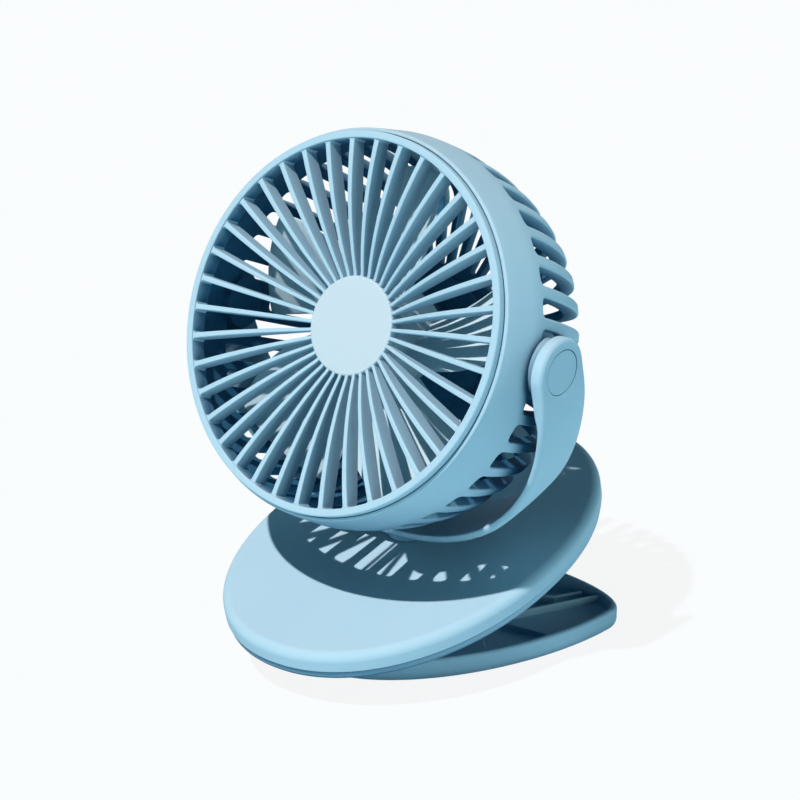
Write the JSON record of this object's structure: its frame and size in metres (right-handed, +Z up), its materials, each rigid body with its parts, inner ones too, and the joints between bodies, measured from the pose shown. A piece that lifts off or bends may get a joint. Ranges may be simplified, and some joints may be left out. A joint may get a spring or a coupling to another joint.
{
  "type": "clip fan",
  "caption": "Small clip-on fan: a round grilled head tilts in a U-shaped yoke that swivels on a sprung clip with two oval plates.",
  "frame": {"origin": "on the underside of the lower jaw, where the fan stands, below the head's tilt axis", "axes": "+Z up from the table; the fan blows towards -Y; +X to the fan's left as it faces -Y"},
  "size_m": [0.1418, 0.1483, 0.1768],
  "materials": {
    "shell_plastic": "fine matte grain",
    "button_plastic": "fine matte grain",
    "grip_rubber": "soft matte",
    "bush_plastic": "matte",
    "steel": "plain",
    "dark_steel": "blackened",
    "board": "solder mask",
    "battery_wrap": "foil wrap",
    "lens": "clear to milky",
    "socket_metal": "plated"
  },
  "bodies": {
    "lower_clip": {"lower_jaw": "shell_plastic", "lower_pad": "grip_rubber", "hinge_pin": "steel", "clip_spring": "steel"},
    "upper_clip": {"upper_shell": "shell_plastic", "bottom_cover": "shell_plastic", "upper_pad": "grip_rubber", "battery": "battery_wrap", "base_board": "board", "usb_port": "socket_metal", "cover_screw_1": "dark_steel", "cover_screw_2": "dark_steel", "cover_screw_3": "dark_steel", "cover_screw_4": "dark_steel"},
    "yoke": {"yoke": "shell_plastic", "pivot_bush_left": "bush_plastic", "pivot_bush_right": "bush_plastic", "ear_cap_left": "shell_plastic", "ear_cap_right": "shell_plastic", "swivel_washer": "steel", "swivel_screw": "dark_steel"},
    "head": {"head_housing": "shell_plastic", "front_grille": "shell_plastic", "rear_cap": "shell_plastic", "led_window": "lens", "head_board": "board", "motor_can": "steel", "motor_screw_left": "dark_steel", "motor_screw_right": "dark_steel", "pivot_screw_left": "steel", "pivot_screw_right": "steel"},
    "impeller": {"impeller": "shell_plastic", "motor_shaft": "steel"},
    "button": {"power_button": "button_plastic"}
  },
  "joints": [
    {"name": "clip_hinge", "type": "hinge", "parent": "lower_clip", "child": "upper_clip", "pos_m": [0, 0.0228, 0.0162], "axis": [-1, 0, 0], "range_deg": [0, 25], "stiffness_Nm_per_rad": 0.8, "springref_deg": -29.79, "deforming": ["clip_spring"]},
    {"name": "yoke_swivel", "type": "hinge", "parent": "upper_clip", "child": "yoke", "pos_m": [0, 0.00006, 0.11091], "axis": [0, -0.2334, 0.9724], "range_deg": [-180, 180]},
    {"name": "head_tilt", "type": "hinge", "parent": "yoke", "child": "head", "pos_m": [0, 0.00006, 0.11091], "axis": [-1, 0, 0], "range_deg": [-180, 180]},
    {"name": "impeller_spin", "type": "hinge", "parent": "head", "child": "impeller", "pos_m": [0, 0.00006, 0.11091], "axis": [0, -0.9354, 0.3535], "continuous": true},
    {"name": "power_button_press", "type": "slide", "parent": "head", "child": "button", "axis": [0, -0.9354, 0.3535], "range_m": [0, 0.0008], "stiffness_N_per_m": 800}
  ]
}
